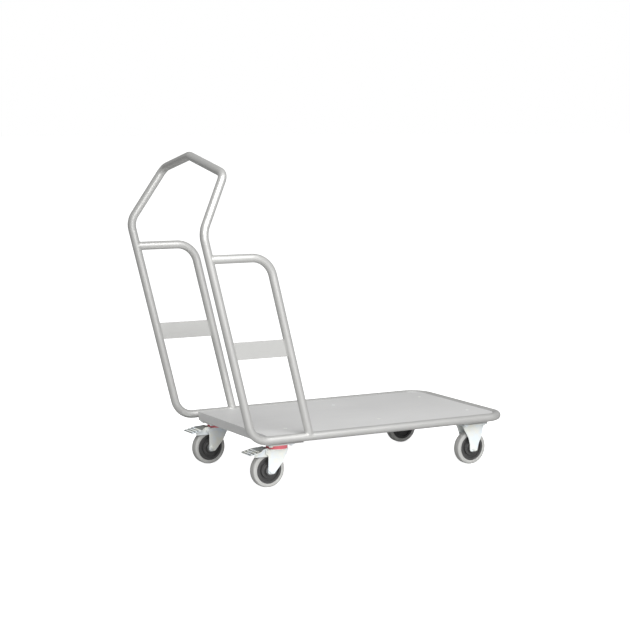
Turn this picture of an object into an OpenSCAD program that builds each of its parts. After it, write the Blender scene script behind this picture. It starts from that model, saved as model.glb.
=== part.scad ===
// Flatbed platform truck: a bent tube frame with a sheet deck, two side guards and a peaked
// push handle, on two fixed casters in front and two braked swivel casters behind.
// +X is forwards, away from the handle; +Y is left; +Z is up. The floor is Z = 0.

/* [Tubes] */
// Outside diameter of every frame tube
tube_d = 30; // [26:1:34]
// Wall of the frame tubes
tube_wall = 2; // [1.5:0.5:3]

/* [Platform] */
// Overall width across the side tubes
platform_w = 600; // [520:10:760]
// Length from the corner where the posts rise to the middle of the front tube
platform_l = 1073; // [880:1:1400]
// Radius of the two front corners, on the tube centre
corner_r = 75; // [50:1:110]
// Height of the tube centres above the caster plates
tube_over_plates = 23; // [22:0.5:30]

/* [Deck] */
// Deck sheet thickness
deck_t = 2; // [1.5:0.5:4]
// Drop of the deck surface below the top of the tubes
deck_drop = 5.5; // [3:0.5:8]
// Distance of the deck's back edge ahead of the post corner
deck_back = 75; // [66:1:95]
// Depth of the lip folded down along the back edge
deck_lip = 31; // [20:0.5:32]
// Distance of the rear row of screws ahead of the post corner
rear_screw_x = 200; // [196:1:204]
// Distance of the front row of screws behind the front tube
front_screw_inset = 83; // [78:1:90]
// Distance between the two screws of a row
screw_span = 320; // [200:10:420]

/* [Posts] */
// Angle by which the posts lean back
post_lean = 15; // [8:1:20]
// Length of a post from its foot corner to its elbow corner
post_l = 750; // [650:1:900]
// Bend radius at the foot of a post
foot_r = 75; // [60:1:84]
// Bend radius at the elbow above a post
elbow_r = 70; // [50:1:100]

/* [Push handle] */
// Width between the two shoulder corners of the handle
shoulder_w = 458; // [380:1:500]
// Distance that the shoulders stand ahead of the elbows
shoulder_forward = 107; // [60:1:140]
// Height of the shoulders above the elbows
shoulder_rise = 193; // [150:1:240]
// Bend radius at the shoulders
shoulder_r = 40; // [35:1:60]
// Height of the peak above the shoulders
peak_rise = 52; // [30:1:80]
// Bend radius at the peak
peak_r = 40; // [35:1:80]

/* [Side guards] */
// Distance of the guard post's foot ahead of the post corner, on the tube centre
guard_foot = 227; // [180:1:320]
// Height of the guard's top bar above the side tube
guard_rise = 634.5; // [520:0.5:700]
// Bend radius at the guard's top corner
guard_r = 85; // [60:1:110]
// Height of the flat strip across each guard
strip_h = 61; // [40:1:90]
// Thickness of the strip
strip_t = 4; // [3:0.5:6]
// Height of the strip's middle above the side tube
strip_rise = 319; // [240:1:400]

/* [Cross members] */
// Sheet thickness of the caster channels
channel_t = 3; // [2:0.5:4]
// Width of the rear channel along the truck
rear_channel_w = 135; // [132:1:150]
// Width of the front channel along the truck
front_channel_w = 106; // [106:1:130]
// Width of the lips turned in along the top of a channel
channel_lip = 24; // [20:1:30]
// Width of the middle bearer
bearer_w = 50; // [40:1:80]
// Height of the middle bearer
bearer_h = 22; // [16:1:26]
// Sheet thickness of the middle bearer
bearer_t = 2.5; // [2:0.5:4]

/* [Casters] */
// Wheel diameter
wheel_d = 125; // [104:1:150]
// Height from the top of the wheel to the top of the caster plate
head_room = 30; // [28:0.5:40]
// Length of a caster plate along the truck
plate_l = 105; // [98:1:112]
// Width of a caster plate
plate_w = 85; // [80:1:95]
// Thickness of a caster plate
plate_t = 3.5; // [2.5:0.5:5]
// Distance between the bolt holes along the truck
hole_span_x = 80; // [76:1:84]
// Distance between the bolt holes across the truck
hole_span_y = 60; // [56:1:66]
// Diameter of the bolt holes
hole_d = 9; // [8.6:0.2:11]
// Distance of the front wheels' axle behind the front tube
front_axle_inset = 120.5; // [112:0.5:160]
// Distance of the front wheels in from the side tube's centre
front_wheel_inset = 53; // [53:1:80]
// Distance of the swivel axis ahead of the post corner
swivel_x = 130; // [130:1:136]
// Distance of the swivel axis in from the side tube's centre
rear_wheel_inset = 62; // [56:1:90]
// Trail of the swivel casters: from the swivel axis back to the wheel axle
trail = 38; // [34:1:42]

/* [Wheels] */
// Width of the tyre
tyre_w = 32; // [26:1:36]
// Radial thickness of the tyre
tyre_t = 14; // [8:1:16]
// Radius of the tyre's shoulders
tyre_edge = 6; // [3:0.5:8]
// Length of the wheel hub
hub_l = 50; // [46:1:54]
// Diameter of the hub boss
hub_d = 36; // [32:1:40]
// Outside diameter of the wheel bearing
bearing_d = 24; // [22:1:28]
// Outside diameter of the axle sleeve
sleeve_d = 15; // [13:1:18]
// Diameter of the axle bolt
axle_d = 8; // [6:0.5:10]

/* [Forks and brakes] */
// Sheet thickness of the fork and bracket legs
leg_t = 3; // [2.5:0.5:4]
// Height of the swivel fork's crown above the wheel
crown_rise = 12.5; // [11:0.5:14]
// Diameter of the swivel head
head_d = 76; // [66:1:80]
// Diameter of the kingpin
kingpin_d = 12; // [10:0.5:14]
// Diameter of the balls in the swivel head
ball_d = 6.4; // [5:0.2:7]
// Number of balls in a swivel head
ball_count = 16; // [10:1:18]
// Width of the brake pedal at its tread
pedal_w = 76; // [56:1:84]
// Reach of the brake pedal behind the axle
pedal_reach = 85; // [76:1:92]
// Angle through which the brake pedal is pressed
brake_angle = 12; // [6:1:12]

/* [Fasteners] */
// Diameter of the bolts that hold the casters
bolt_d = 8; // [6:1:8]
// Diameter of the screws that hold the deck
screw_d = 6; // [4:1:6]
// Diameter of the deck screws' flush heads
screw_head_d = 12; // [10:0.5:13]

/* [Hidden] */
$fn = 64;

// Clearances
weld_gap = 0.1;     // between welded pieces
slip = 0.05;        // radial clearance of a running fit, and between pieces pressed together
running_gap = 0.4;  // between pieces that turn past each other
bend_thinning = 0.03;  // what bending takes off each side of a tube's wall
bend_lap = 0.5;        // length over which a straight runs on into its bend

// Vectors
function unit(v) = v / norm(v);
function turn(a, b) = acos(unit(a) * unit(b));
function flip(p) = [p.x, -p.y, p.z];
function setback(p, q, r, bend_r) = bend_r * tan(turn(q - p, r - q) / 2);

// Heights
tube_r = tube_d / 2;
wheel_r = wheel_d / 2;
plate_top = wheel_d + head_room;
plate_under = plate_top - plate_t;
tube_z = plate_top + tube_over_plates;
deck_z = tube_z + tube_r - deck_drop;
deck_under = deck_z - deck_t;

// Frame corners, from the post corner at X = 0
half_w = platform_w / 2 - tube_r;
lean_dir = [-sin(post_lean), 0, cos(post_lean)];
post_foot = [0, half_w, tube_z];
elbow = post_foot + post_l * lean_dir;
shoulder = [elbow.x + shoulder_forward, shoulder_w / 2, elbow.z + shoulder_rise];
peak = [shoulder.x - peak_rise * tan(post_lean), 0, shoulder.z + peak_rise];
function on_post(rise) = post_foot + rise / cos(post_lean) * lean_dir;
bar_end = on_post(guard_rise);
guard_corner = bar_end + [guard_foot, 0, 0];

// Butt joints between the bent tubes, a little way along the straight from each bend
joint_straight = 8;
foot_joint = foot_r * tan((90 - post_lean) / 2) + joint_straight;
post_top = elbow - lean_dir * (setback(post_foot, elbow, shoulder, elbow_r) + joint_straight);
handle_foot = post_top + weld_gap * lean_dir;

// The rearmost point is on the elbow bend, the foremost on the front tube
elbow_out = unit(shoulder - elbow);
elbow_normal = unit(cross(lean_dir, elbow_out));
elbow_inward = unit(elbow_out - (elbow_out * lean_dir) * lean_dir);
elbow_centre = elbow - lean_dir * setback(post_foot, elbow, shoulder, elbow_r) + elbow_inward * elbow_r;
rearmost = elbow_centre.x - elbow_r * sqrt(1 - pow(elbow_normal.x, 2)) - tube_r;
foremost = platform_l + tube_r;
corner_x = -(rearmost + foremost) / 2;

// Wheels and cross members, in the truck's frame
swivel_at = corner_x + swivel_x;
rear_wheel_y = half_w - rear_wheel_inset;
front_wheel_at = corner_x + platform_l - front_axle_inset;
front_wheel_y = half_w - front_wheel_inset;
rear_screws_at = corner_x + rear_screw_x;
front_screws_at = corner_x + platform_l - front_screw_inset;
middle_screws_at = (rear_screws_at + front_screws_at) / 2;
rear_channel_at = corner_x + deck_back + deck_t + weld_gap + rear_channel_w / 2;
channel_h = deck_under - plate_top;
cross_l = 2 * (half_w - tube_r - weld_gap);

// Wheels, from the middle of the axle
core_r = wheel_r - tyre_t;
flange_in = 7.5;      // width of the core's rim flange
flange_half = 14;     // half of the rim flange's width across
web_half = 5;         // half of the web's thickness
disc_r = 29;          // raised disc round the hub
disc_half = 13;
bearing_flange = 1.5;

// Forks, in millimetres from the axle: x forwards, z up
leg_in = hub_l / 2 + running_gap;
leg_out = leg_in + leg_t;
crown_z = wheel_r + crown_rise;
crown_t = 3;
under_plate = plate_under - wheel_r;
head_r = head_d / 2;
race_r = 21;
ball_z = crown_z + 4.5;
race_half_gap = 1;
groove_gap = 0.3;
kingpin_foot = 5;

// Brake pedal, in millimetres from the axle
pin_x = -12;
pin_z = wheel_r + 7;
pin_d = 7;
pin_head_d = 11;
pin_head_t = 2;
cheek_in = 19.5;
cheek_t = 2.5;
tread_t = 2.5;
tread_rise = [[-pedal_reach, -2], [-54, 4.5], [-30, 12], [-8, 14.5]];  // the tread's line, above the wheel's top
stud_d = 7;           // raised grips on the tread
stud_h = 1.6;
stud_pitch = 13;
shoe_gap = 0.5;

// Fasteners
nut_w = 13;
nut_h = 6.5;
head_h = 5.3;
screw_nut_w = 10;
screw_nut_h = 5;
screw_l = 12;
socket_w = 4;
socket_h = 2;

// Colours
paint = [0.80, 0.80, 0.79];
deck_paint = [0.78, 0.78, 0.78];
zinc = [0.90, 0.92, 0.91];
dark_plastic = [0.17, 0.17, 0.18];
grey_rubber = [0.62, 0.62, 0.60];
red_plastic = [0.84, 0.12, 0.16];
steel = [0.55, 0.56, 0.58];

// ---------- helpers

// A bar of the given section, from one point to another
module between(a, b) {
    d = b - a;
    translate(a)
        rotate([0, acos(d.z / norm(d)), atan2(d.y, d.x)])
            linear_extrude(norm(d)) children();
}

// A section swept round the corner at q on the way from p to r
module bend(p, q, r, bend_r) {
    u = unit(q - p);
    v = unit(r - q);
    inward = unit(v - (v * u) * u);
    c = q - u * setback(p, q, r, bend_r) + inward * bend_r;
    n = cross(u, inward);
    multmatrix([[-inward.x, u.x, n.x, c.x],
                [-inward.y, u.y, n.y, c.y],
                [-inward.z, u.z, n.z, c.z],
                [0, 0, 0, 1]])
        rotate_extrude(angle = turn(u, v)) translate([bend_r, 0]) children();
}

// The section of the frame tubes; a bend is drawn a hair thinner, as bending leaves it
module ring(thinned = 0) difference() {
    circle(tube_r - thinned);
    circle(tube_r - tube_wall + thinned);
}

// A bent tube through the points, with one bend radius for each inner point
module tube_run(points, bends) {
    last = len(points) - 1;
    backs = [for (i = [0:last])
        i == 0 || i == last ? 0 : setback(points[i - 1], points[i], points[i + 1], bends[i - 1])];
    for (i = [0:last - 1]) {
        d = unit(points[i + 1] - points[i]);
        start = i == 0 ? 0 : backs[i] - bend_lap;
        stop = i == last - 1 ? 0 : backs[i + 1] - bend_lap;
        between(points[i] + d * start, points[i + 1] - d * stop) ring();
    }
    for (i = [1:last - 1])
        bend(points[i - 1], points[i], points[i + 1], bends[i - 1]) ring(bend_thinning);
}

// The room that a welded tube takes between two points
module tube_room(a, b) between(a, b) circle(tube_r + weld_gap);

module from_corner() translate([corner_x, 0, 0]) children();
module mirrored(side) mirror([0, side < 0 ? 1 : 0, 0]) children();

// The four corners of a caster's bolt pattern
module at_bolts() {
    for (x = [-1, 1], y = [-1, 1])
        translate([x * hole_span_x / 2, y * hole_span_y / 2, 0]) children();
}
module at_all_bolts() {
    for (side = [-1, 1]) {
        translate([swivel_at, side * rear_wheel_y, 0]) at_bolts() children();
        translate([front_wheel_at, side * front_wheel_y, 0]) at_bolts() children();
    }
}
module at_screws() {
    for (x = [rear_screws_at, middle_screws_at, front_screws_at], y = [-1, 1])
        translate([x, y * screw_span / 2, 0]) children();
}

// Axle of each wheel
module at_front(side) translate([front_wheel_at, side * front_wheel_y, wheel_r]) children();
module at_rear(side) translate([swivel_at - trail, side * rear_wheel_y, wheel_r]) mirrored(side) children();

// A round piece about the axle, from y = a to y = b
module across(r, a, b) translate([0, b, 0]) rotate([90, 0, 0]) cylinder(r = r, h = b - a);
// An outline drawn as x and z, from y = a to y = b
module slab(a, b) translate([0, b, 0]) rotate([90, 0, 0]) linear_extrude(b - a) children();
// A profile of radius and width, turned about the axle
module turned() rotate([90, 0, 0]) rotate_extrude() children();

// Points round a corner of an outline, r millimetres in radius
function corner(p, q, r, radius) =
    let (a = unit(p - q), b = unit(r - q), half = turn(a, b) / 2,
         c = q + unit(a + b) * radius / sin(half),
         back = radius / tan(half),
         s = q + a * back - c, e = q + b * back - c,
         sweep = 180 - 2 * half, way = s.x * e.y - s.y * e.x > 0 ? 1 : -1)
    [for (i = [0:6]) let (g = way * sweep * i / 6)
        c + [s.x * cos(g) - s.y * sin(g), s.x * sin(g) + s.y * cos(g)]];
// An outline with its corners rounded; each point is [x, z, radius]
function rounded(pts) =
    [for (i = [0:len(pts) - 1])
        let (n = len(pts), p = pts[(i + n - 1) % n], q = pts[i], r = pts[(i + 1) % n])
        each q[2] > 0 ? corner([p.x, p.y], [q.x, q.y], [r.x, r.y], q[2]) : [[q.x, q.y]]];

// ---------- frame

module platform_hoop() color(paint) from_corner()
    tube_run([[foot_joint, half_w, tube_z], [platform_l, half_w, tube_z],
              [platform_l, -half_w, tube_z], [foot_joint, -half_w, tube_z]],
             [corner_r, corner_r]);

// The room inside the hoop, which the cross members fill from side to side
module inside_hoop() from_corner() linear_extrude(tube_z + tube_d) deck_outline();

module upright() color(paint) from_corner()
    tube_run([[foot_joint, half_w, tube_z], post_foot, post_top], [foot_r]);

module push_handle() color(paint) from_corner()
    tube_run([handle_foot, elbow, shoulder, peak, flip(shoulder), flip(elbow), flip(handle_foot)],
             [elbow_r, shoulder_r, peak_r, shoulder_r, elbow_r]);

module guard() color(paint) from_corner() difference() {
    tube_run([bar_end, guard_corner, [guard_foot, half_w, tube_z]], [guard_r]);
    tube_room(post_foot, elbow);
    tube_room(post_foot, [platform_l, half_w, tube_z]);
}

module strip() color(paint) from_corner() difference() {
    low = on_post(strip_rise - strip_h / 2);
    high = on_post(strip_rise + strip_h / 2);
    slab(half_w - strip_t / 2, half_w + strip_t / 2)
        polygon([[low.x, low.z], [low.x + guard_foot, low.z],
                 [high.x + guard_foot, high.z], [high.x, high.z]]);
    tube_room(post_foot, elbow);
    tube_room([guard_foot, half_w, tube_z], guard_corner);
}

// ---------- deck and cross members

module deck_outline() {
    half = cross_l / 2;
    front = platform_l - tube_r - weld_gap;
    round_r = corner_r - tube_r - weld_gap;
    polygon(rounded([[deck_back, -half, 0], [front, -half, round_r], [front, half, round_r],
                     [deck_back, half, 0]]));
}

module deck() color(deck_paint) difference() {
    union() {
        from_corner() translate([0, 0, deck_under]) linear_extrude(deck_t) deck_outline();
        from_corner() translate([deck_back, -cross_l / 2, deck_z - deck_lip])
            cube([deck_t, cross_l, deck_lip]);
    }
    at_screws() translate([0, 0, deck_under - 1]) {
        cylinder(d = screw_d + 1, h = deck_t + 2);
        translate([0, 0, 1 + deck_t / 2]) cylinder(d = screw_head_d + 1, h = deck_t);
    }
}

// A channel open at the top, whose lips carry the deck
module caster_channel(width) {
    translate([-width / 2, -cross_l / 2, plate_top]) difference() {
        cube([width, cross_l, channel_h]);
        translate([channel_t, -1, channel_t])
            cube([width - 2 * channel_t, cross_l + 2, channel_h - 2 * channel_t]);
        translate([channel_lip, -1, channel_t])
            cube([width - 2 * channel_lip, cross_l + 2, channel_h]);
    }
}

module channel_holes() {
    at_all_bolts() translate([0, 0, plate_top - 1]) cylinder(d = hole_d, h = channel_t + 2);
    at_screws() translate([0, 0, deck_under - channel_t - 1]) cylinder(d = screw_d + 1, h = channel_t + 2);
}

module rear_channel() color(paint) difference() {
    translate([rear_channel_at, 0, 0]) caster_channel(rear_channel_w);
    channel_holes();
}

module front_channel() color(paint) difference() {
    intersection() {
        translate([front_wheel_at, 0, 0]) caster_channel(front_channel_w);
        inside_hoop();
    }
    channel_holes();
}

module middle_bearer() color(paint) difference() {
    translate([middle_screws_at - bearer_w / 2, -cross_l / 2, deck_under - bearer_h]) difference() {
        cube([bearer_w, cross_l, bearer_h]);
        translate([bearer_t, -1, -1]) cube([bearer_w - 2 * bearer_t, cross_l + 2, bearer_h - bearer_t + 1]);
    }
    channel_holes();
}

// ---------- fasteners

module deck_screws() color(zinc) at_screws() translate([0, 0, deck_z]) difference() {
    union() {
        translate([0, 0, -deck_t / 2 + slip]) cylinder(d = screw_head_d, h = deck_t / 2 - 2 * slip);
        translate([0, 0, -screw_l]) cylinder(d = screw_d, h = screw_l - deck_t / 2 + 2 * slip);
    }
    translate([0, 0, -socket_h]) cylinder(d = socket_w, h = socket_h + 1, $fn = 6);
}

module deck_nuts() color(zinc)
    at_screws() translate([0, 0, deck_under - channel_t - screw_nut_h]) difference() {
        cylinder(d = screw_nut_w / cos(30), h = screw_nut_h, $fn = 6);
        translate([0, 0, -1]) cylinder(d = screw_d + 2 * slip, h = screw_nut_h + 2);
    }

module caster_bolts() color(zinc) at_all_bolts() {
    translate([0, 0, plate_under - head_h]) cylinder(d = nut_w / cos(30), h = head_h, $fn = 6);
    translate([0, 0, plate_under - 1]) cylinder(d = bolt_d, h = plate_t + channel_t + nut_h + 2);
}

module caster_nuts() color(zinc) at_all_bolts()
    translate([0, 0, plate_top + channel_t]) difference() {
        cylinder(d = nut_w / cos(30), h = nut_h, $fn = 6);
        translate([0, 0, -1]) cylinder(d = bolt_d + 2 * slip, h = nut_h + 2);
    }

// ---------- wheels, from the middle of the axle

module tyre() color(grey_rubber) turned() difference() {
    polygon(rounded([[core_r + slip, -tyre_w / 2, 1], [wheel_r, -tyre_w / 2, tyre_edge],
                     [wheel_r, tyre_w / 2, tyre_edge], [core_r + slip, tyre_w / 2, 1]]));
}

module core() color(dark_plastic) turned() {
    bore = bearing_d / 2;
    flange_r = core_r - flange_in;
    polygon([[bore, -hub_l / 2 + bearing_flange], [hub_d / 2, -hub_l / 2 + bearing_flange],
             [hub_d / 2, -disc_half], [disc_r, -disc_half], [disc_r + 1, -web_half],
             [flange_r - 1, -web_half], [flange_r, -flange_half], [core_r, -flange_half],
             [core_r, flange_half], [flange_r, flange_half], [flange_r - 1, web_half],
             [disc_r + 1, web_half], [disc_r, disc_half], [hub_d / 2, disc_half],
             [hub_d / 2, hub_l / 2 - bearing_flange], [bore, hub_l / 2 - bearing_flange]]);
}

module wheel_bearing() color(steel) difference() {
    union() {
        across(bearing_d / 2 - slip, -hub_l / 2, hub_l / 2);
        for (side = [-1, 1])
            mirrored(side) across(hub_d / 2 - 2, hub_l / 2 - bearing_flange + slip, hub_l / 2);
    }
    across(sleeve_d / 2 + slip, -hub_l, hub_l);
}

module axle_sleeve() color(zinc) difference() {
    across(sleeve_d / 2, -leg_in + slip, leg_in - slip);
    across(axle_d / 2 + slip, -leg_out, leg_out);
}

module axle_bolt() color(zinc) {
    across(axle_d / 2, -leg_out - nut_h - 2, leg_out + 1);
    translate([0, leg_out + slip, 0]) rotate([-90, 0, 0])
        cylinder(d = nut_w / cos(30), h = head_h, $fn = 6);
}

module axle_nut() color(zinc) difference() {
    translate([0, -leg_out - slip, 0]) rotate([90, 0, 0])
        cylinder(d = nut_w / cos(30), h = nut_h, $fn = 6);
    across(axle_d / 2 + slip, -leg_out - nut_h - 1, 0);
}

// ---------- caster plates, forks and brackets

module caster_plate() translate([0, 0, plate_under - wheel_r]) difference() {
    linear_extrude(plate_t) polygon(rounded([
        [-plate_l / 2, -plate_w / 2, 8], [plate_l / 2, -plate_w / 2, 8],
        [plate_l / 2, plate_w / 2, 8], [-plate_l / 2, plate_w / 2, 8]]));
    at_bolts() translate([0, 0, -1]) cylinder(d = hole_d, h = plate_t + 2);
}

// Leg of a fixed caster: narrow at the axle, flared where it meets the plate
module bracket_leg_outline() polygon(rounded([
    [-16, -12, 8], [16, -12, 8], [22, 18, 40], [33, 38, 40], [50, under_plate, 0],
    [-50, under_plate, 0], [-37, 64, 25], [-23, 36, 40], [-18, 15, 40]]));

// The bracket seen along the truck: legs that draw in above the wheel, to clear the bolt heads
module bracket_section() {
    neck = hole_span_y / 2 - nut_w / 2 - running_gap;
    side = [[leg_out, -wheel_r], [leg_out, wheel_r - 16], [neck, wheel_r + 10], [neck, under_plate + 1]];
    inner = [for (p = side) [p.x - leg_t, min(p.y, under_plate - leg_t)]];
    polygon(concat(side, [for (i = [3:-1:0]) [-side[i].x, side[i].y]],
                   [for (p = inner) [-p.x, p.y]], [for (i = [3:-1:0]) inner[i]]));
}

module fixed_bracket() color(zinc) {
    caster_plate();
    difference() {
        intersection() {
            slab(-leg_out - 1, leg_out + 1) bracket_leg_outline();
            translate([-plate_l, 0, 0]) rotate([90, 0, 90]) linear_extrude(2 * plate_l) bracket_section();
        }
        across(axle_d / 2 + slip, -leg_out - 1, leg_out + 1);
    }
}

// Leg of a swivel fork: from the axle forwards and up to the crown, with a lug for the pedal pin
module fork_leg_outline() polygon(rounded([
    [-10, -12, 8], [14, -12, 8], [48, 28, 30], [66, crown_z - 12, 10], [trail + head_r - 6, crown_z, 0],
    [-20, crown_z, 4], [-20, pin_z - 8, 6], [-10, pin_z - 18, 6]]));

module swivel_fork() color(zinc) difference() {
    union() {
        for (side = [-1, 1])
            mirrored(side) slab(leg_in, leg_out) fork_leg_outline();
        translate([trail, 0, crown_z - crown_t]) cylinder(r = head_r, h = crown_t);
        translate([2, -leg_out, crown_z - crown_t]) cube([trail + head_r - 8, 2 * leg_out, crown_t]);
        translate([trail, 0, crown_z - 1]) cylinder(r = race_r + ball_d, h = ball_z - race_half_gap - crown_z + 1);
    }
    across(axle_d / 2 + slip, -leg_out - 1, leg_out + 1);
    translate([pin_x, 0, pin_z]) across(pin_d / 2 + slip, -leg_out - 1, leg_out + 1);
    translate([trail, 0, 0]) cylinder(d = kingpin_d + 2 * slip, h = 2 * crown_z);
    translate([trail, 0, ball_z]) rotate_extrude() translate([race_r, 0]) circle(ball_d / 2 + groove_gap);
}

module swivel_plate() color(zinc) translate([trail, 0, 0]) difference() {
    caster_plate();
    translate([0, 0, under_plate - 1]) cylinder(d = kingpin_d + 2 * slip, h = plate_t + 2);
    translate([0, 0, under_plate + plate_t / 2]) cylinder(d = 1.7 * kingpin_d, h = plate_t);
}

module swivel_race() color(steel) translate([trail, 0, ball_z]) difference() {
    translate([0, 0, race_half_gap])
        cylinder(r = race_r + ball_d, h = under_plate - ball_z - race_half_gap);
    translate([0, 0, -1]) cylinder(d = kingpin_d + 2 * slip, h = 2 * head_room);
    rotate_extrude() translate([race_r, 0]) circle(ball_d / 2 + groove_gap);
}

module swivel_balls() color(steel) translate([trail, 0, ball_z])
    for (i = [0:ball_count - 1])
        rotate(i * 360 / ball_count) translate([race_r, 0, 0]) sphere(d = ball_d);

module kingpin() color(steel) translate([trail, 0, 0]) {
    foot = crown_z - crown_t - running_gap;
    translate([0, 0, foot - kingpin_foot]) cylinder(d = 1.7 * kingpin_d, h = kingpin_foot);
    translate([0, 0, foot - 1]) cylinder(d = kingpin_d, h = under_plate + plate_t - foot);
    translate([0, 0, under_plate + plate_t / 2 + slip])
        cylinder(d = 1.7 * kingpin_d - 2 * slip, h = plate_t / 2 - 4 * slip);
}

module seal_ring() color(red_plastic) translate([trail, 0, crown_z + slip]) difference() {
    cylinder(r = head_r, h = under_plate - crown_z - 2 * running_gap);
    translate([0, 0, -1]) cylinder(r = race_r + ball_d + running_gap, h = head_room);
}

// ---------- brake

// The tread's line turned into a strip of sheet
module tread_line() {
    top = [for (p = tread_rise) [p.x, p.y + wheel_r + tread_t]];
    low = [for (i = [len(tread_rise) - 1:-1:0]) [tread_rise[i].x, tread_rise[i].y + wheel_r]];
    polygon(concat(top, low));
}

module cheek_outline() {
    line = [for (p = tread_rise) if (p.x > -70) [p.x, p.y + wheel_r + 0.5]];
    polygon(concat(line, [[-2, pin_z + 5], [-2, wheel_r - 13], [-58, wheel_r - 12], [-64, wheel_r - 4]]));
}

module brake_pedal() color(zinc) difference() {
    union() {
        intersection() {
            slab(-pedal_w / 2, pedal_w / 2) tread_line();
            linear_extrude(2 * wheel_d) polygon(rounded([
                [-pedal_reach, -pedal_w / 2, 7], [-44, -pedal_w / 2, 9], [-26, -cheek_in - cheek_t, 8],
                [0, -cheek_in - cheek_t, 0], [0, cheek_in + cheek_t, 0],
                [-26, cheek_in + cheek_t, 8], [-44, pedal_w / 2, 9], [-pedal_reach, pedal_w / 2, 7]]));
        }
        for (side = [-1, 1])
            mirrored(side) slab(cheek_in, cheek_in + cheek_t) cheek_outline();
        for (i = [1:3], j = [-2:2]) {
            x = i * stud_pitch - 4 - pedal_reach;
            translate([x, j * stud_pitch, wheel_r + tread_t + lookup(x, tread_rise) - 1])
                cylinder(d = stud_d, h = stud_h + 1);
        }
    }
    translate([pin_x, 0, pin_z]) across(pin_d / 2 + slip, -leg_out, leg_out);
}

module pedal_pin() color(zinc) translate([pin_x, 0, pin_z]) {
    across(pin_d / 2, -leg_out - 1, leg_out + 1);
    for (side = [-1, 1])
        mirrored(side) across(pin_head_d / 2, leg_out + slip, leg_out + pin_head_t);
}

// The shoe is cut to the tyre's curve as it lies when the pedal is pressed
module brake_shoe() color(steel) difference() {
    slab(-cheek_in + slip, cheek_in - slip)
        polygon([[-36, wheel_r - 9], [-22, wheel_r - 3], [-20, wheel_r + 3], [-36, wheel_r + 0]]);
    translate([pin_x, 0, pin_z]) rotate([0, brake_angle, 0]) translate([-pin_x, 0, -pin_z])
        across(wheel_r + shoe_gap, -hub_l, hub_l, $fn = 360);
}

// ---------- what each node draws

platform_hoop();
mirrored(1) upright();  // left_upright
mirrored(-1) upright();  // right_upright
push_handle();
mirrored(1) guard();  // left_guard
mirrored(-1) guard();  // right_guard
mirrored(1) strip();  // left_strip
mirrored(-1) strip();  // right_strip
deck();
rear_channel();
middle_bearer();
front_channel();
deck_screws();
deck_nuts();
caster_bolts();
caster_nuts();
at_front(1) fixed_bracket();  // front_left_bracket
at_front(-1) fixed_bracket();  // front_right_bracket
at_front(1) axle_sleeve();  // front_left_sleeve
at_front(-1) axle_sleeve();  // front_right_sleeve
for (side = [-1, 1]) at_front(side) mirrored(side) axle_bolt();  // front_axle_bolts
for (side = [-1, 1]) at_front(side) mirrored(side) axle_nut();  // front_axle_nuts
at_front(1) wheel_bearing();  // front_left_bearing
at_front(-1) wheel_bearing();  // front_right_bearing
at_front(1) core();  // front_left_core
at_front(-1) core();  // front_right_core
at_front(1) tyre();  // front_left_tyre
at_front(-1) tyre();  // front_right_tyre
at_rear(1) swivel_plate();  // rear_left_plate
at_rear(-1) swivel_plate();  // rear_right_plate
at_rear(1) swivel_race();  // rear_left_race
at_rear(-1) swivel_race();  // rear_right_race
at_rear(1) kingpin();  // rear_left_kingpin
at_rear(-1) kingpin();  // rear_right_kingpin
at_rear(1) swivel_balls();  // rear_left_balls
at_rear(-1) swivel_balls();  // rear_right_balls
at_rear(1) swivel_fork();  // rear_left_fork
at_rear(-1) swivel_fork();  // rear_right_fork
at_rear(1) seal_ring();  // rear_left_seal
at_rear(-1) seal_ring();  // rear_right_seal
at_rear(1) axle_sleeve();  // rear_left_sleeve
at_rear(-1) axle_sleeve();  // rear_right_sleeve
at_rear(1) axle_bolt();  // rear_left_axle_bolt
at_rear(-1) axle_bolt();  // rear_right_axle_bolt
at_rear(1) axle_nut();  // rear_left_axle_nut
at_rear(-1) axle_nut();  // rear_right_axle_nut
at_rear(1) wheel_bearing();  // rear_left_bearing
at_rear(-1) wheel_bearing();  // rear_right_bearing
at_rear(1) core();  // rear_left_core
at_rear(-1) core();  // rear_right_core
at_rear(1) tyre();  // rear_left_tyre
at_rear(-1) tyre();  // rear_right_tyre
at_rear(1) brake_pedal();  // rear_left_pedal
at_rear(-1) brake_pedal();  // rear_right_pedal
at_rear(1) pedal_pin();  // rear_left_pedal_pin
at_rear(-1) pedal_pin();  // rear_right_pedal_pin
at_rear(1) brake_shoe();  // rear_left_brake_shoe
at_rear(-1) brake_shoe();  // rear_right_brake_shoe
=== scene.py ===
import math

import bmesh
import bpy
from bpy.props import FloatProperty, FloatVectorProperty, IntProperty, PointerProperty
from mathutils import Matrix, Vector


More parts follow.
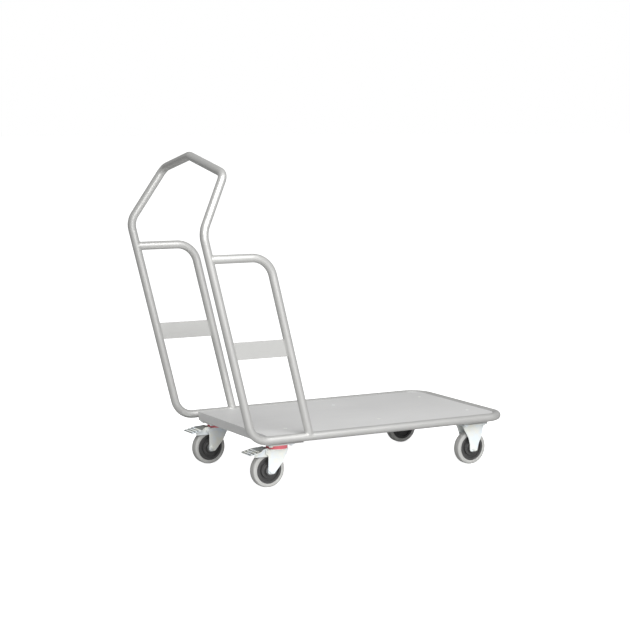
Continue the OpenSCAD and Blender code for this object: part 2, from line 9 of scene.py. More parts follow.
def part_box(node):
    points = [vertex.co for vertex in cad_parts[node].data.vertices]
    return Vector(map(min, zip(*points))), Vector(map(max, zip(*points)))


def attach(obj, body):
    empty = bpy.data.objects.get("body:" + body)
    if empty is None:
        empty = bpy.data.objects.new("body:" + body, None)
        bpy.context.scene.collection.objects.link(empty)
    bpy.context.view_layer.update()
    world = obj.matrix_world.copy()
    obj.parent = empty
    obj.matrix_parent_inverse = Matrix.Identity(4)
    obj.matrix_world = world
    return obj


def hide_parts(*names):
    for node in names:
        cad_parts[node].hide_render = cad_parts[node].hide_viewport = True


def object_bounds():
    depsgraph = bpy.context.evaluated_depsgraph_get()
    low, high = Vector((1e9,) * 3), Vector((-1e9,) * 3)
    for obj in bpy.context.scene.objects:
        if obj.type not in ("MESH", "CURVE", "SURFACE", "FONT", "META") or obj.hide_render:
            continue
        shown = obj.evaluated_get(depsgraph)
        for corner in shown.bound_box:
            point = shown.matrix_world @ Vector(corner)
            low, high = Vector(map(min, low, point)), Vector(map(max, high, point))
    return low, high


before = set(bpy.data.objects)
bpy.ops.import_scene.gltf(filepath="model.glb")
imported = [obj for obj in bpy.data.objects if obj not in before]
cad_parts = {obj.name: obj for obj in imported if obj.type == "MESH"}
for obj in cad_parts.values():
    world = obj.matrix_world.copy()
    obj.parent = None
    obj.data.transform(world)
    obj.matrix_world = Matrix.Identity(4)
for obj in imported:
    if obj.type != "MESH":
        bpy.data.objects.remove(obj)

bl_info = {
    "name": "Platform Truck",
    "version": (1, 0, 0),
    "blender": (4, 5, 0),
    "location": "View3D > Sidebar > Truck",
    "description": "Finishes, welds, wheels and studio for a flatbed platform truck",
    "category": "Object",
}

CAD_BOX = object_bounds()
SIDES = {"left": 1, "right": -1}
WHEELS = [f"{end}_{side}" for end in ("front", "rear") for side in SIDES]

# Sizes of the frame that its boxes don't give: the lean of the posts, the platform's length
# from the post corners, and how far along and up the guards join
LEAN = math.radians(15)
PLATFORM_L = 1.073
GUARD_FOOT = 0.227
GUARD_RISE = 0.6345

# Where the tubes run, read from the frame
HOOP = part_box("platform_hoop")
TUBE_R = (HOOP[1].z - HOOP[0].z) / 2
TUBE_Z = (HOOP[1].z + HOOP[0].z) / 2
HALF_W = HOOP[1].y - TUBE_R
CORNER_X = HOOP[1].x - TUBE_R - PLATFORM_L
ALONG = Vector((1, 0, 0))
UP = Vector((0, 0, 1))
POST_WAY = Vector((-math.sin(LEAN), 0, math.cos(LEAN)))
POST_FRONT = Vector((math.cos(LEAN), 0, math.sin(LEAN)))

# Where the studio's lights and camera stand, and how the camera is turned
KEY_PLACE = Vector((-0.6, -3.0, 3.5))
KEY_SIZE = (3.6, 2.6)
FILL_PLACE = Vector((-1.4, -6.3, 2.1))
FILL_SIZE = (6.4, 2.8)
FLOOR_SIZE = 40
CAMERA_PLACE = Vector((-3.30095, -5.48211, 1.38096))
CAMERA_YAW = math.radians(30.83)
CAMERA_DIP = math.radians(7.31)
CAMERA_ROLL = math.radians(0.65)


# ---------------------------------------------------------------- settings

def length(name, description, default):
    return FloatProperty(name=name, description=description, default=default, unit="LENGTH", min=0)


def colour(name, description, default):
    return FloatVectorProperty(
        name=name, description=description, default=default, subtype="COLOR", size=3, min=0, max=1)


class TruckColours(bpy.types.PropertyGroup):
    paint: colour("Tube paint", "Silver-grey powder coat on the tubes", (0.64, 0.64, 0.626))
    deck: colour("Deck paint", "Satin grey powder coat on the deck", (0.73, 0.73, 0.725))
    zinc: colour("Zinc", "Plating on the forks, brackets and bolts", (0.93, 0.95, 0.945))
    # The screws' paler tint is partly real pale zinc and partly a painted highlight for the glints on their
    # heads
    screw: colour("Deck screw", "Pale plating on the deck screws", (0.97, 0.98, 0.975))
    # The pedal tread's darker tint is painted shade, for the shadow under the deck and the dark surroundings
    # the tread reflects
    tread: colour("Pedal tread", "Worn plating on the tread of the brake pedals", (0.36, 0.37, 0.36))
    steel: colour("Steel", "Ground steel of the inner parts and pins", (0.34, 0.35, 0.36))
    tyre: colour("Tyre", "Non-marking grey rubber", (0.50, 0.50, 0.485))
    core: colour("Wheel core", "Moulded dark grey plastic", (0.070, 0.070, 0.070))
    seal: colour("Seal ring", "Red plastic ring round each swivel head", (0.84, 0.18, 0.22))


class TruckWelds(bpy.types.PropertyGroup):
    bead: length("Weld bead", "Radius of a fillet weld's bead", 0.0017)
    seam: length("Ground seam", "Radius of a butt weld that has been ground down", 0.0006)
    pitch: length("Ripple pitch", "Distance between two ripples of a bead", 0.0026)
    swell: FloatProperty(
        name="Ripple swell", description="How much a ripple widens the bead", default=0.16, min=0, max=0.5)


class TruckEdges(bpy.types.PropertyGroup):
    sheet: length("Sheet edge", "Rounding of the edges of pressed sheet", 0.0006)
    pedal: length("Pedal edge", "Rounding of the pedals' edges", 0.00048)
    fold: length("Deck fold", "Rounding of the deck's folded edge", 0.0011)


class TruckWheelSizes(bpy.types.PropertyGroup):
    shoulder: length("Tyre shoulder", "Radius of the tyre's shoulders", 0.0065)
    part_line: length("Mould line", "Height of the mould line round the tread", 0.00025)
    groove: length("Groove depth", "Depth of the groove round the tyre's side", 0.0011)
    core_edge: length("Core edge", "Rounding of the core's moulded edges", 0.000315)
    steps: IntProperty(name="Steps", description="Steps round a wheel", default=96, min=24, max=256)


class TruckStudio(bpy.types.PropertyGroup):
    lens: FloatProperty(name="Lens", description="Focal length in millimetres", default=100.6, unit="CAMERA")
    key: FloatProperty(
        name="Key light", description="Power of the high soft box", default=165, unit="POWER")
    fill: FloatProperty(
        name="Fill light", description="Power of the wide front soft box", default=215, unit="POWER")
    sky: FloatProperty(name="Surround", description="Light that the surround gives", default=0.34, min=0)
    glow: FloatProperty(name="Floor glow", description="Light that the lit floor gives", default=0.86, min=0)
    floor: colour("Floor", "Plain pale floor", (0.93, 0.93, 0.93))
    bounce: FloatProperty(
        name="Floor bounce", description="Share of light that the floor throws back on the truck",
        default=0.45, min=0, max=1)


class TruckSettings(bpy.types.PropertyGroup):
    colours: PointerProperty(type=TruckColours, name="Colours", description="Colours of the finishes")
    welds: PointerProperty(type=TruckWelds, name="Welds", description="Sizes of the weld beads")
    edges: PointerProperty(type=TruckEdges, name="Edges", description="Rounding of sheet edges")
    wheels: PointerProperty(type=TruckWheelSizes, name="Wheels", description="Sizes of wheel details")
    studio: PointerProperty(type=TruckStudio, name="Studio", description="Camera, lights and floor")


# ---------------------------------------------------------------- finishes

class Amount:
    """A number that varies over a surface; arithmetic on it adds Math nodes."""

    def __init__(self, finish, socket):
        self.finish = finish
        self.socket = socket

    def _maths(self, operation, first, second):
        made = self.finish.node(
            "ShaderNodeMath", {"operation": operation}, {0: first, 1: second})
        return Amount(self.finish, made.outputs[0])

    def __add__(self, other):
        return self._maths("ADD", self, other)

    def __radd__(self, other):
        return self._maths("ADD", other, self)

    def __sub__(self, other):
        return self._maths("SUBTRACT", self, other)

    def __rsub__(self, other):
        return self._maths("SUBTRACT", other, self)

    def __mul__(self, other):
        return self._maths("MULTIPLY", self, other)

    def __rmul__(self, other):
        return self._maths("MULTIPLY", other, self)


class Finish:
    """A material being made: a Principled shader, and one way to add any node to it."""

    def __init__(self, name, **uniform):
        self.material = bpy.data.materials.new(name)
        self.material.use_nodes = True
        self.tree = self.material.node_tree
        self.tree.nodes.clear()
        self.shader = self.node("ShaderNodeBsdfPrincipled", {}, uniform)
        self.node("ShaderNodeOutputMaterial", {}, {"Surface": self.shader.outputs[0]})
        self.place = self.node("ShaderNodeTexCoord").outputs["Object"]

    def node(self, kind, settings=None, values=None):
        made = self.tree.nodes.new(kind)
        for name, value in (settings or {}).items():
            if name == "stops":
                self._ramp(made.color_ramp.elements, value)
            else:
                setattr(made, name, value)
        for name, value in (values or {}).items():
            value = value.socket if isinstance(value, Amount) else value
            if isinstance(value, bpy.types.NodeSocket):
                self.tree.links.new(value, made.inputs[name])
            else:
                made.inputs[name].default_value = value
        return made

    def _ramp(self, elements, stops):
        while len(elements) < len(stops):
            elements.new(1)
        for element, (position, level) in zip(elements, stops):
            element.position = position
            element.color = (level, level, level, 1)

    def feed(self, **values):
        for name, value in values.items():
            value = value.socket if isinstance(value, Amount) else value
            self.tree.links.new(value, self.shader.inputs[name.replace("_", " ")])

    def stretched(self, scale, turn=(0, 0, 0)):
        made = self.node("ShaderNodeMapping", {}, {"Vector": self.place, "Scale": scale, "Rotation": turn})
        return made.outputs[0]

    def noise(self, scale, detail=2.0, place=None):
        made = self.node("ShaderNodeTexNoise", {}, {
            "Vector": place or self.place, "Scale": scale, "Detail": detail, "Roughness": 0.55})
        return Amount(self, made.outputs[0])

    def cells(self, scale):
        made = self.node("ShaderNodeTexVoronoi", {}, {"Vector": self.place, "Scale": scale})
        return Amount(self, made.outputs["Distance"])

    def ramp(self, amount, *stops):
        made = self.node("ShaderNodeValToRGB", {"stops": stops}, {"Fac": amount})
        return Amount(self, made.outputs[0])

    def mix(self, amount, first, second):
        values = {0: amount}
        for index, tint in ((6, first), (7, second)):
            values[index] = tint if isinstance(tint, bpy.types.NodeSocket) else (*tint, 1)
        return self.node("ShaderNodeMix", {"data_type": "RGBA"}, values).outputs[2]

    def bump(self, height, distance, strength=1.0):
        made = self.node("ShaderNodeBump", {}, {
            "Height": height, "Distance": distance, "Strength": strength})
        return made.outputs[0]


def tone(tint, factor):
    return tuple(min(1.0, channel * factor) for channel in tint)


def powder_coat(name, tint, roughness):
    """Silver-grey powder coat: fine orange peel, faint metallic fleck and cloudy gloss."""
    finish = Finish(name, Metallic=0.62)
    cloud = finish.noise(5, 4)
    fleck = finish.ramp(finish.cells(1500), (0.0, 1.0), (0.22, 0.0))
    body = finish.mix(cloud, tone(tint, 0.94), tone(tint, 1.05))
    finish.feed(
        Base_Color=finish.mix(fleck * 0.25, body, tone(tint, 1.35)),
        Roughness=cloud * 0.10 + fleck * -0.08 + (roughness - 0.05),
        Normal=finish.bump(finish.noise(520, 2), 0.00022, 0.6))
    return finish.material


def deck_coat(name, tint, roughness):
    """The deck's powder coat, rubbed along the truck by what has stood and slid on it."""
    finish = Finish(name, Metallic=0.22)
    cloud = finish.noise(2.6, 3, finish.stretched((1, 1.8, 1)))
    rub = finish.ramp(
        finish.noise(26, 5, finish.stretched((0.10, 1.6, 1), (0, 0, 0.05))), (0.58, 0.0), (0.80, 1.0))
    scratch = finish.ramp(
        finish.noise(170, 2, finish.stretched((0.02, 1.0, 1), (0, 0, -0.12))), (0.70, 0.0), (0.76, 1.0))
    wear = finish.noise(3.2, 2)
    fleck = finish.ramp(finish.cells(1500), (0.0, 1.0), (0.22, 0.0))
    body = finish.mix(cloud, tone(tint, 0.93), tone(tint, 1.06))
    rubbed = finish.mix(rub * wear * 0.25, body, tone(tint, 1.12))
    finish.feed(
        Base_Color=finish.mix(scratch * wear * 0.35 + fleck * 0.12, rubbed, tone(tint, 1.4)),
        Roughness=cloud * 0.12 + rub * -0.07 + scratch * -0.08 + (roughness - 0.05),
        Normal=finish.bump(finish.noise(420, 2) + scratch * -0.6, 0.0002, 0.5))
    return finish.material


def zinc_plate(name, tint, roughness, metallic):
    """Bright zinc plating: a bluish and straw-coloured sheen over rolled sheet."""
    finish = Finish(name, Metallic=metallic)
    sheen = finish.noise(24, 3)
    grain = finish.noise(260, 3, finish.stretched((0.2, 1, 1)))
    blue = (tint[0] * 0.93, tint[1] * 0.98, min(1, tint[2] * 1.04))
    straw = (tint[0], tint[1] * 0.98, tint[2] * 0.90)
    body = finish.mix(finish.ramp(sheen, (0.35, 0.0), (0.65, 1.0)), blue, straw)
    finish.feed(
        Base_Color=finish.mix(grain * 0.16, body, tone(tint, 0.72)),
        Roughness=grain * 0.16 + sheen * 0.10 + (roughness - 0.13),
        Normal=finish.bump(grain, 0.00008, 0.5))
    return finish.material


def ground_steel(name, tint, roughness):
    """Ground or turned steel with fine tool marks and a film of grease."""
    finish = Finish(name, Metallic=1.0)
    marks = finish.noise(700, 2, finish.stretched((1, 0.15, 1)))
    film = finish.noise(60, 3)
    finish.feed(
        Base_Color=finish.mix(film, tone(tint, 0.75), tone(tint, 1.15)),
        Roughness=film * 0.22 + marks * 0.12 + (roughness - 0.17),
        Normal=finish.bump(marks, 0.00006, 0.5))
    return finish.material


def tyre_rubber(name, tint):
    """Grey rubber: a matt mould skin, dust in its pores and faint scuffs."""
    finish = Finish(name)
    pores = finish.noise(900, 3)
    dust = finish.noise(38, 4)
    scuff = finish.ramp(finish.noise(120, 4), (0.62, 0.0), (0.72, 1.0))
    body = finish.mix(dust, tone(tint, 0.90), tone(tint, 1.08))
    finish.feed(
        Base_Color=finish.mix(scuff * 0.30, body, tone(tint, 0.66)),
        Roughness=dust * 0.14 + pores * 0.08 + 0.52,
        Normal=finish.bump(pores + scuff * 0.5, 0.00018, 0.5))
    return finish.material


def moulded_plastic(name, tint, roughness, grain):
    """Moulded plastic with a fine sparked grain and flow marks."""
    finish = Finish(name)
    sparks = finish.noise(1300, 2)
    flow = finish.noise(30, 3, finish.stretched((1, 0.4, 1)))
    finish.feed(
        Base_Color=finish.mix(flow, tone(tint, 0.86), tone(tint, 1.16)),
        Roughness=flow * 0.12 + sparks * 0.10 + (roughness - 0.11),
        Normal=finish.bump(sparks, grain, 0.6))
    return finish.material


FINISHES = {}


def finishes():
    """The finishes by name, made once from the colours in the settings."""
    if not FINISHES:
        colours = bpy.context.scene.truck.colours
        FINISHES.update(
            paint=powder_coat("tube_paint", tuple(colours.paint), 0.40),
            deck=deck_coat("deck_paint", tuple(colours.deck), 0.54),
            zinc=zinc_plate("zinc_plate", tuple(colours.zinc), 0.34, 0.15),
            # Paler than the other zinc: partly real pale plating, partly a painted highlight for the glints
            # on the screw heads
            screw=zinc_plate("screw_plating_and_glint", tuple(colours.screw), 0.40, 0.0),
            # The darker tread finish is painted shade for the shadow and dark reflections on the pedal tops
            tread=zinc_plate("pedal_tread_painted_shade", tuple(colours.tread), 0.42, 0.7),
            steel=ground_steel("ground_steel", tuple(colours.steel), 0.34),
            tyre=tyre_rubber("tyre_rubber", tuple(colours.tyre)),
            core=moulded_plastic("wheel_core", tuple(colours.core), 0.42, 0.00010),
            seal=moulded_plastic("seal_ring", tuple(colours.seal), 0.36, 0.00005))
    return FINISHES


def dress(finish, *nodes):
    """Gives CAD nodes a finish."""
    for node in nodes:
        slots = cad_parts[node].data.materials
        slots.clear()
        slots.append(finishes()[finish])


# ---------------------------------------------------------------- making pieces

def piece(name, shape, body, slot, *materials, replaced=(), smooth=32):
    """Turns a bmesh into a named piece that rides on a body."""
    mesh = bpy.data.meshes.new(name)
    shape.to_mesh(mesh)
    shape.free()
    for polygon in mesh.polygons:
        polygon.use_smooth = True
    mesh.set_sharp_from_angle(angle=math.radians(smooth))
    for material in materials:
        mesh.materials.append(finishes()[material])
    made = bpy.data.objects.new(name, mesh)
    bpy.context.scene.collection.objects.link(made)
    even = made.modifiers.new("even_shading", "WEIGHTED_NORMAL")
    even.keep_sharp = True
    even.weight = 100
    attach(made, body)
    if replaced:
        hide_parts(*replaced)
    return made


def merged_copy(node):
    """A CAD node's mesh with its loose triangles joined and its flat faces whole."""
    shape = bmesh.new()
    shape.from_mesh(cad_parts[node].data)
    bmesh.ops.remove_doubles(shape, verts=shape.verts, dist=2e-6)
    bmesh.ops.dissolve_limit(
        shape, angle_limit=math.radians(0.5), verts=shape.verts, edges=shape.edges)
    return shape


def round_edges(shape, radius, segments=2, least=40, where=None):
    """Rounds every edge whose faces meet more sharply than the least angle."""
    sharp = [edge for edge in shape.edges
             if len(edge.link_faces) == 2
             and edge.calc_face_angle(0) > math.radians(least)
             and (where is None or where(edge))]
    bmesh.ops.bevel(
        shape, geom=sharp, offset=radius, segments=segments, profile=0.5,
        affect="EDGES", material=-1, clamp_overlap=False)


def soft_sheet(name, node, body, slot, radius, *materials):
    """A pressed-sheet CAD node with its edges rounded."""
    shape = merged_copy(node)
    round_edges(shape, radius)
    return piece(name, shape, body, slot, *materials, replaced=[node])


def lathe(shape, outline, centre, steps):
    """Spins an outline of (radius, across) round the wheel's axle."""
    corners = [shape.verts.new(centre + Vector((radius, across, 0))) for radius, across in outline]
    edges = [shape.edges.new(pair) for pair in zip(corners, corners[1:] + corners[:1])]
    bmesh.ops.spin(
        shape, geom=corners + edges, cent=centre, axis=(0, 1, 0), angle=math.tau,
        steps=steps, use_merge=True)
    bmesh.ops.remove_doubles(shape, verts=shape.verts, dist=1e-6)
    bmesh.ops.recalc_face_normals(shape, faces=shape.faces)


def bead(shape, points, radius, closed=False):
    """Draws a weld bead along the points, with its ripples."""
    welds = bpy.context.scene.truck.welds
    widest = HOOP[1].y - radius * (1 + welds.swell)
    points = [Vector((point.x, max(-widest, min(widest, point.y)), point.z)) for point in points]
    stations = []
    count = len(points)
    travelled = 0.0
    for i, point in enumerate(points):
        ahead = points[(i + 1) % count] if closed or i < count - 1 else point
        behind = points[i - 1] if closed or i > 0 else point
        turn = (ahead - behind).to_track_quat("Z", "Y").to_matrix().to_4x4()
        travelled += (point - points[i - 1]).length if i else 0.0
        width = radius * (1 + welds.swell * math.sin(math.tau * travelled / welds.pitch))
        stations.append(Matrix.Translation(point) @ turn @ Matrix.Diagonal((width, width, width, 1)))
    if closed:
        stations.append(stations[0])
    ring = bmesh.ops.create_circle(shape, segments=8, radius=1, matrix=stations[0])["verts"]
    first = list(ring)
    for before, after in zip(stations, stations[1:]):
        edges = {edge for vert in ring for edge in vert.link_edges
                 if all(end in ring for end in edge.verts)}
        made = bmesh.ops.extrude_edge_only(shape, edges=list(edges))["geom"]
        ring = [item for item in made if isinstance(item, bmesh.types.BMVert)]
        bmesh.ops.transform(shape, matrix=after @ before.inverted(), verts=ring)
    if closed:
        bmesh.ops.remove_doubles(shape, verts=first + ring, dist=radius * 0.05)
    else:
        for end in (first, ring):
            bmesh.ops.contextual_create(shape, geom=end)


def tee_seam(origin, tube, run, run_out):
    """Points of the seam where a tube meets the side of another of the same size."""
    across = Vector((0, 1, 0))
    off = across.cross(tube)
    off *= 1 if off.dot(run) > 0 or abs(off.dot(run)) < 1e-9 else -1
    points = []
    steps = 96
    for i in range(steps):
        angle = math.tau * (i + 0.5) / steps
        cos, sin = math.cos(angle), math.sin(angle)
        reach = TUBE_R * (abs(cos) - cos * off.dot(run_out)) / tube.dot(run_out)
        points.append(origin + tube * reach + off * (TUBE_R * cos) + across * (TUBE_R * sin))
    return points


def butt_seam(centre, way):
    """Points of the seam round a tube that is joined end to end."""
    turn = way.to_track_quat("Z", "Y")
    steps = 64
    angles = [math.tau * i / steps for i in range(steps)]
    return [centre + turn @ Vector((math.cos(angle), math.sin(angle), 0)) * TUBE_R for angle in angles]


def straight(start, end, spacing=0.0009):
    """Points evenly spaced along a straight weld."""
    count = max(2, round((end - start).length / spacing))
    return [start.lerp(end, i / count) for i in range(count + 1)]


# ---------------------------------------------------------------- operators

class TRUCK_OT_tubes(bpy.types.Operator):
    """Paint the tubes and strips of the frame"""

    bl_idname = "truck.tubes"
    bl_label = "Tubes"

    def execute(self, context):
        dress("paint", "platform_hoop", "left_upright", "right_upright", "push_handle",
              "left_guard", "right_guard")
        for side in SIDES:
            soft_sheet(f"{side}_guard_strip", f"{side}_strip", "frame", "frame_paint",
                       context.scene.truck.edges.sheet, "paint")
        return {"FINISHED"}


class TRUCK_OT_welds(bpy.types.Operator):
    """Lay the weld beads on the frame"""

    bl_idname = "truck.welds"
    bl_label = "Welds"

    def execute(self, context):
        welds = context.scene.truck.welds
        joint_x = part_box("platform_hoop")[0].x
        for side, sign in SIDES.items():
            shape = bmesh.new()
            foot = Vector((CORNER_X, sign * HALF_W, TUBE_Z))
            guard_foot = foot + ALONG * GUARD_FOOT
            bar_end = foot + POST_WAY * (GUARD_RISE / math.cos(LEAN))
            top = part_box(f"{side}_upright")[1].z - TUBE_R * math.sin(LEAN)
            post_top = foot + POST_WAY * ((top - TUBE_Z) / math.cos(LEAN))
            bead(shape, butt_seam(Vector((joint_x, sign * HALF_W, TUBE_Z)), ALONG), welds.seam, True)
            bead(shape, butt_seam(post_top, POST_WAY), welds.seam, True)
            bead(shape, tee_seam(guard_foot, POST_WAY, ALONG, UP), welds.bead, True)
            bead(shape, tee_seam(bar_end, ALONG, UP, POST_FRONT), welds.bead, True)
            self.strip_welds(shape, side, foot, guard_foot, welds.bead * 0.8)
            piece(f"{side}_frame_welds", shape, "frame", "frame_paint", "paint", smooth=80)
        shape = bmesh.new()
        above_foot, below_top = 0.012, 0.002
        for member in ("rear_channel", "middle_bearer", "front_channel"):
            low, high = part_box(member)
            for x in (low.x, high.x):
                for y in (low.y, high.y):
                    start = Vector((x, y, low.z + above_foot))
                    end = Vector((x, y, high.z - below_top))
                    bead(shape, straight(start, end), welds.bead)
        piece("cross_member_welds", shape, "frame", "frame_paint", "paint", smooth=80)
        return {"FINISHED"}

    def strip_welds(self, shape, side, foot, guard_foot, radius):
        low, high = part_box(f"{side}_strip")
        beside, ahead = radius * 0.6, radius * 0.5
        thick = (high.y - low.y) / 2 + beside
        reach = math.sqrt(TUBE_R ** 2 - thick ** 2) + ahead
        for post, way in ((foot, 1), (guard_foot, -1)):
            for face in (1, -1):
                ends = [post + POST_WAY * ((z - TUBE_Z) / math.cos(LEAN) - way * reach * math.tan(LEAN))
                        + POST_FRONT * (way * reach) + Vector((0, face * thick, 0))
                        for z in (low.z, high.z)]
                bead(shape, straight(*ends), radius)


class TRUCK_OT_deck(bpy.types.Operator):
    """Round the deck's folds and paint the deck and its cross members"""

    bl_idname = "truck.deck"
    bl_label = "Deck"

    def execute(self, context):
        edges = context.scene.truck.edges
        shape = merged_copy("deck")
        full_width = 0.4
        round_edges(shape, edges.fold, 3, 60, lambda edge: abs(
            (edge.verts[0].co - edge.verts[1].co).y) > full_width)
        piece("deck_sheet", shape, "frame", "deck_paint", "deck", replaced=["deck"])
        dress("paint", "rear_channel", "middle_bearer", "front_channel")
        return {"FINISHED"}


class TRUCK_OT_fasteners(bpy.types.Operator):
    """Plate the screws, bolts and nuts"""

    bl_idname = "truck.fasteners"
    bl_label = "Fasteners"

    def execute(self, context):
        dress("screw", "deck_screws")
        dress("zinc", "deck_nuts", "caster_bolts", "caster_nuts")
        dress("zinc", "front_axle_bolts", "front_axle_nuts")
        for side in SIDES:
            for part in ("kingpin", "race", "balls", "brake_shoe"):
                dress("steel", f"rear_{side}_{part}")
            for part in ("axle_bolt", "axle_nut", "pedal_pin", "plate"):
                dress("zinc", f"rear_{side}_{part}")
        for wheel in WHEELS:
            dress("steel", f"{wheel}_bearing")
            dress("zinc", f"{wheel}_sleeve")
        return {"FINISHED"}


class TRUCK_OT_wheels(bpy.types.Operator):
    """Turn the tyres and wheel cores"""

    bl_idname = "truck.wheels"
    bl_label = "Wheels"

    def execute(self, context):
        sizes = context.scene.truck.wheels
        for wheel in WHEELS:
            self.tyre(wheel, sizes)
            self.core(wheel, sizes)
        return {"FINISHED"}

    def tyre(self, wheel, sizes):
        low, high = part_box(f"{wheel}_tyre")
        centre = (low + high) / 2
        outer = (high.z - low.z) / 2
        half = (high.y - low.y) / 2
        core_low, core_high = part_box(f"{wheel}_core")
        inner = (core_high.z - core_low.z) / 2
        tread = outer - sizes.part_line
        groove, width, slope = inner + 0.0035, 0.0009, 0.0004
        seat_dip, lip_dip = 0.0008, 0.0004
        line_foot, line_top = 0.0006, 0.0002
        side = [(inner, half - seat_dip), (groove, half - lip_dip),
                (groove + slope, half - sizes.groove), (groove + slope + width, half - sizes.groove),
                (groove + 2 * slope + width, half)]
        outline = [(radius, -across) for radius, across in side]
        outline += [(tread, -half), (tread, -line_foot), (outer, -line_top), (outer, line_top),
                    (tread, line_foot), (tread, half)]
        outline += side[::-1]
        shape = bmesh.new()
        lathe(shape, outline, centre, sizes.steps)
        round_edges(shape, sizes.shoulder, 7, 60, lambda edge: all(
            abs(math.hypot(v.co.x - centre.x, v.co.z - centre.z) - tread) < 1e-5
            and abs(abs(v.co.y - centre.y) - half) < 1e-5 for v in edge.verts))
        piece(f"{wheel}_tread", shape, f"{wheel}_wheel", "grey_tyre", "tyre",
              replaced=[f"{wheel}_tyre"], smooth=40)

    def core(self, wheel, sizes):
        low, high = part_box(f"{wheel}_core")
        centre = (low + high) / 2
        rim = (high.z - low.z) / 2
        hub_half = (high.y - low.y) / 2
        bore_r, hub_r, disc_r, flange_r = 0.01205, 0.018, 0.029, rim - 0.0075
        web_half, disc_half, flange_half = 0.005, 0.013, 0.014
        lip, draft, chamfer, slope = 0.002, 0.001, 0.0005, 0.0006
        disc_floor, flange_floor = disc_half - 0.0012, flange_half - 0.0007
        half_outline = [
            (bore_r, hub_half), (hub_r - chamfer, hub_half), (hub_r, disc_half + chamfer),
            (hub_r + lip, disc_floor), (disc_r - lip - draft, disc_floor),
            (disc_r - lip, disc_half), (disc_r, disc_half), (disc_r + draft, web_half),
            (flange_r - draft, web_half), (flange_r, flange_half),
            (flange_r + lip, flange_half), (flange_r + lip + slope, flange_floor),
            (rim - draft - slope, flange_floor), (rim - draft, flange_half), (rim, flange_half)]
        outline = [(radius, -across) for radius, across in half_outline] + half_outline[::-1]
        shape = bmesh.new()
        lathe(shape, outline, centre, sizes.steps)
        round_edges(shape, sizes.core_edge, 2, 50)
        piece(f"{wheel}_hub", shape, f"{wheel}_wheel", "dark_core", "core",
              replaced=[f"{wheel}_core"], smooth=40)


class TRUCK_OT_casters(bpy.types.Operator):
    """Round and plate the forks and brackets, and give the seal rings their finish"""

    bl_idname = "truck.casters"
    bl_label = "Casters"

    def execute(self, context):
        radius = context.scene.truck.edges.sheet
        for side in SIDES:
            soft_sheet(f"front_{side}_fork_sheet", f"front_{side}_bracket", "frame", "zinc", radius, "zinc")
            soft_sheet(f"rear_{side}_fork_sheet", f"rear_{side}_fork", f"rear_{side}_swivel", "zinc",
                       radius, "zinc")
            dress("seal", f"rear_{side}_seal")
        return {"FINISHED"}


class TRUCK_OT_pedals(bpy.types.Operator):
    """Round the brake pedals and give their up-facing treads a darker tint as painted shade"""

    bl_idname = "truck.pedals"
    bl_label = "Brake pedals"

    def execute(self, context):
        radius = context.scene.truck.edges.pedal
        tread_rise, tread_area = 0.8, 2e-4
        for side in SIDES:
            made = soft_sheet(f"rear_{side}_pedal_sheet", f"rear_{side}_pedal", f"rear_{side}_brake", "zinc",
                              radius, "zinc", "tread")
            # The faces that point up get the darker tread finish, as painted shade
            for polygon in made.data.polygons:
                if polygon.normal.z > tread_rise and polygon.area > tread_area:
                    polygon.material_index = 1
        return {"FINISHED"}


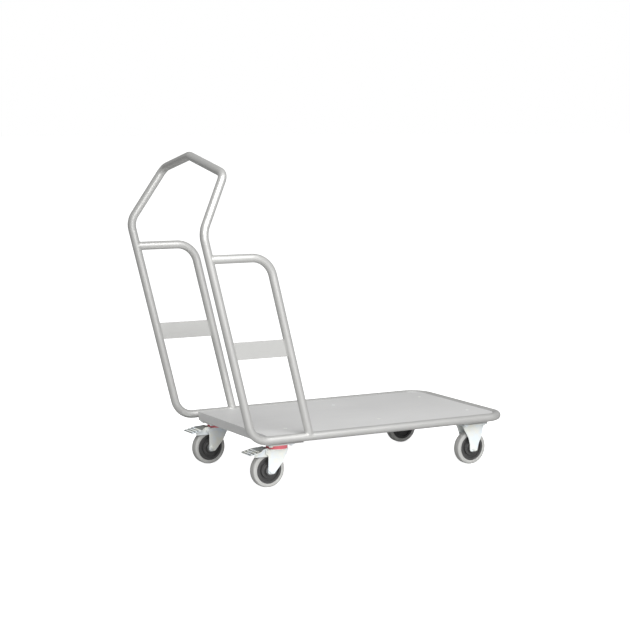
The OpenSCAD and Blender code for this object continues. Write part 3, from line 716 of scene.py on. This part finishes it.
class TRUCK_OT_stage(bpy.types.Operator):
    """Set up the floor, lights and camera"""

    bl_idname = "truck.stage"
    bl_label = "Studio"

    def execute(self, context):
        studio = context.scene.truck.studio
        self.floor(studio)
        self.surround(studio)
        centre = (CAD_BOX[0] + CAD_BOX[1]) / 2
        self.soft_box("key_light", KEY_PLACE, centre, KEY_SIZE, studio.key)
        self.soft_box("fill_light", FILL_PLACE, centre, FILL_SIZE, studio.fill)
        self.camera(studio)
        return {"FINISHED"}

    def floor(self, studio):
        shape = bmesh.new()
        bmesh.ops.create_grid(shape, x_segments=8, y_segments=8, size=FLOOR_SIZE)
        mesh = bpy.data.meshes.new("studio_floor")
        shape.to_mesh(mesh)
        shape.free()
        finish = Finish("studio_floor", Roughness=0.9)
        finish.shader.inputs["Emission Strength"].default_value = studio.glow
        tint = tuple(studio.floor)
        seen = finish.node("ShaderNodeLightPath").outputs["Is Camera Ray"]
        plain = finish.mix(finish.noise(0.8, 3), tone(tint, 0.985), tone(tint, 1.01))
        finish.feed(
            Base_Color=finish.mix(seen, (studio.bounce,) * 3, plain),
            Emission_Color=finish.mix(seen, (0, 0, 0), (1, 1, 1)))
        mesh.materials.append(finish.material)
        made = bpy.data.objects.new("studio_floor", mesh)
        bpy.context.scene.collection.objects.link(made)

    def surround(self, studio):
        world = bpy.data.worlds.new("studio_surround")
        world.use_nodes = True
        tree = world.node_tree
        seen = tree.nodes.new("ShaderNodeLightPath").outputs["Is Camera Ray"]
        white = tree.nodes["Background"]
        white.inputs[0].default_value = (1, 1, 1, 1)
        soft = tree.nodes.new("ShaderNodeBackground")
        soft.inputs[0].default_value = (1, 1, 1, 1)
        soft.inputs[1].default_value = studio.sky
        either = tree.nodes.new("ShaderNodeMixShader")
        tree.links.new(seen, either.inputs[0])
        tree.links.new(soft.outputs[0], either.inputs[1])
        tree.links.new(white.outputs[0], either.inputs[2])
        tree.links.new(either.outputs[0], tree.nodes["World Output"].inputs["Surface"])
        bpy.context.scene.world = world
        bpy.context.scene.view_settings.view_transform = "Standard"

    def soft_box(self, name, place, target, size, power):
        light = bpy.data.lights.new(name, "AREA")
        light.shape = "RECTANGLE"
        light.size, light.size_y = size
        light.energy = power
        made = bpy.data.objects.new(name, light)
        made.location = place
        made.rotation_euler = (target - place).to_track_quat("-Z", "Y").to_euler()
        bpy.context.scene.collection.objects.link(made)

    def camera(self, studio):
        level = math.cos(CAMERA_DIP)
        ahead = Vector((
            math.sin(CAMERA_YAW) * level, math.cos(CAMERA_YAW) * level, -math.sin(CAMERA_DIP)))
        right = ahead.cross(UP).normalized()
        above = right.cross(ahead)
        across = right * math.cos(CAMERA_ROLL) + above * math.sin(CAMERA_ROLL)
        top = above * math.cos(CAMERA_ROLL) - right * math.sin(CAMERA_ROLL)
        data = bpy.data.cameras.new("studio_camera")
        data.lens = studio.lens
        data.sensor_width = 36
        data.clip_end = 200
        made = bpy.data.objects.new("studio_camera", data)
        turn = Matrix((across, top, -ahead)).transposed()
        made.matrix_world = Matrix.Translation(CAMERA_PLACE) @ turn.to_4x4()
        bpy.context.scene.collection.objects.link(made)
        bpy.context.scene.camera = made


class TRUCK_PT_panel(bpy.types.Panel):
    """Panel that lists the truck's settings and steps"""

    bl_idname = "TRUCK_PT_panel"
    bl_label = "Platform Truck"
    bl_space_type = "VIEW_3D"
    bl_region_type = "UI"
    bl_category = "Truck"

    def draw(self, context):
        settings = context.scene.truck
        for group in ("colours", "welds", "edges", "wheels", "studio"):
            box = self.layout.box()
            values = getattr(settings, group)
            for name in values.__annotations__:
                box.prop(values, name)
        for step in STEPS:
            self.layout.operator(step.bl_idname)


STEPS = (TRUCK_OT_tubes, TRUCK_OT_welds, TRUCK_OT_deck, TRUCK_OT_fasteners, TRUCK_OT_wheels,
         TRUCK_OT_casters, TRUCK_OT_pedals, TRUCK_OT_stage)
CLASSES = (TruckColours, TruckWelds, TruckEdges, TruckWheelSizes, TruckStudio, TruckSettings,
           *STEPS, TRUCK_PT_panel)


def register():
    for item in CLASSES:
        bpy.utils.register_class(item)
    bpy.types.Scene.truck = PointerProperty(type=TruckSettings)


def unregister():
    del bpy.types.Scene.truck
    for item in reversed(CLASSES):
        bpy.utils.unregister_class(item)


def main():
    register()
    for step in STEPS:
        group, name = step.bl_idname.split(".")
        getattr(getattr(bpy.ops, group), name)()


if __name__ == "__main__":
    main()
